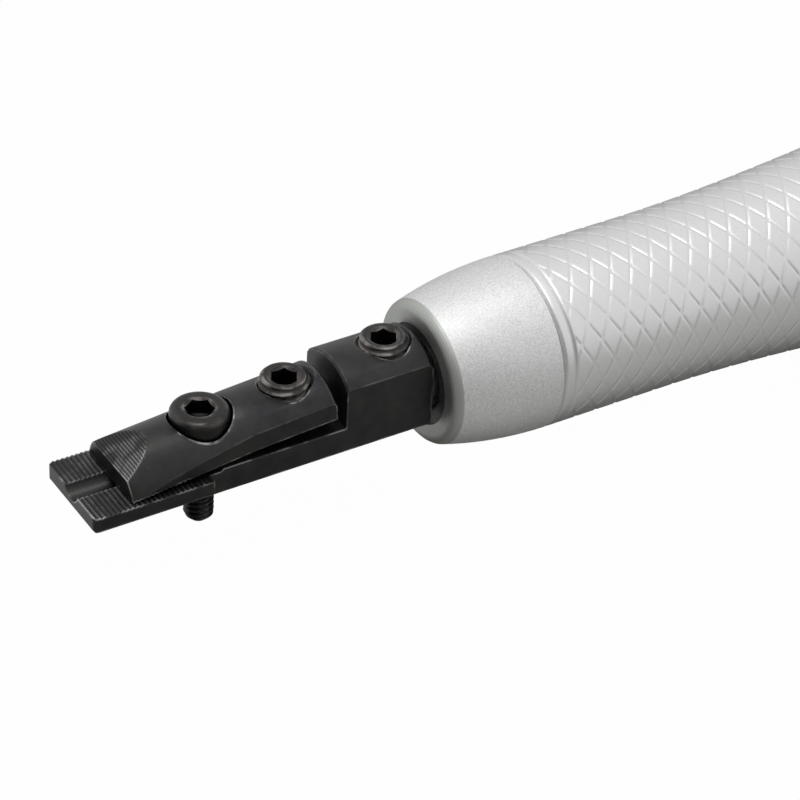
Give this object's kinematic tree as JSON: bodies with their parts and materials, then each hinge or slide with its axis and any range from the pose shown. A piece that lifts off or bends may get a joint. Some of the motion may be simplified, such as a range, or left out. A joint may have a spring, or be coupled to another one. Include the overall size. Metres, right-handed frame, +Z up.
{
  "type": "pencil air file",
  "caption": "Pencil grip pneumatic reciprocating file: round aluminium grip, throttle ring, plunger with a jawed file holder closed by socket screws.",
  "frame": {"origin": "centre of the air inlet's mouth, on the tool axis", "axes": "+X along the tool axis, out of the air inlet; the file holder points to -X; +Z up, towards the socket screws' heads"},
  "size_m": [0.1872, 0.027, 0.027],
  "materials": {
    "satin_aluminium": "satin, fine blasted grain",
    "black_rubber": "smooth",
    "bronze": "turned",
    "polyurethane": "satin",
    "ground_steel": "ground",
    "dark_steel": "turned",
    "felt": "felt",
    "black_anodised": "satin",
    "nickel_plate": "plated, satin",
    "brass_gauze": "woven gauze",
    "black_oxide": "black oxide, oiled",
    "black_screw": "black oxide"
  },
  "bodies": {
    "tool_body": {"nose_cone": "satin_aluminium", "wiper_seal": "black_rubber", "guide_bush": "bronze", "nose_o_ring": "black_rubber", "grip": "satin_aluminium", "front_bumper": "polyurethane", "cylinder_liner": "ground_steel", "liner_o_rings": "black_rubber", "rear_bumper": "polyurethane", "cylinder_head": "ground_steel", "dowel_pin": "ground_steel", "throttle_stem": "dark_steel", "stem_o_rings": "black_rubber", "silencer": "felt", "exhaust_collar": "black_anodised", "stop_pin": "ground_steel", "thrust_washer": "bronze", "inlet_bush": "nickel_plate", "inlet_strainer": "brass_gauze"},
    "throttle": {"throttle_ring": "satin_aluminium"},
    "plunger": {"plunger_rod": "ground_steel", "piston": "ground_steel", "piston_rings": "ground_steel", "piston_nut": "ground_steel", "holder_body": "black_oxide"},
    "jaw": {"upper_jaw": "black_oxide"},
    "clamp": {"clamp_screw": "black_screw"},
    "jack": {"jack_screw": "black_screw"},
    "shank_clamp": {"shank_screw": "black_screw"}
  },
  "joints": [
    {"name": "plunger_stroke", "type": "slide", "parent": "tool_body", "child": "plunger", "axis": [-1, 0, 0], "range_m": [0, 0.006]},
    {"name": "throttle_turn", "type": "hinge", "parent": "tool_body", "child": "throttle", "pos_m": [-0.0226, 0, 0], "axis": [1, 0, 0], "range_deg": [0, 60]},
    {"name": "jaw_lift", "type": "slide", "parent": "plunger", "child": "jaw", "axis": [0, 0, 1], "range_m": [0, 0.0021]},
    {"name": "clamp_turn", "type": "hinge", "parent": "jaw", "child": "clamp", "pos_m": [-0.1714, 0, 0], "axis": [0, 0, 1], "range_deg": [0, 1080]},
    {"name": "jack_travel", "type": "slide", "parent": "jaw", "child": "jack", "axis": [0, 0, 1], "range_m": [-0.0021, 0]},
    {"name": "shank_screw_travel", "type": "slide", "parent": "plunger", "child": "shank_clamp", "axis": [0, 0, 1], "range_m": [0, 0.0015]}
  ],
  "couplings": [
    {"joint": "clamp_turn", "follows": "jaw_lift", "rad_per_m": 8975.9},
    {"joint": "jack_travel", "follows": "jaw_lift", "ratio": -1}
  ]
}
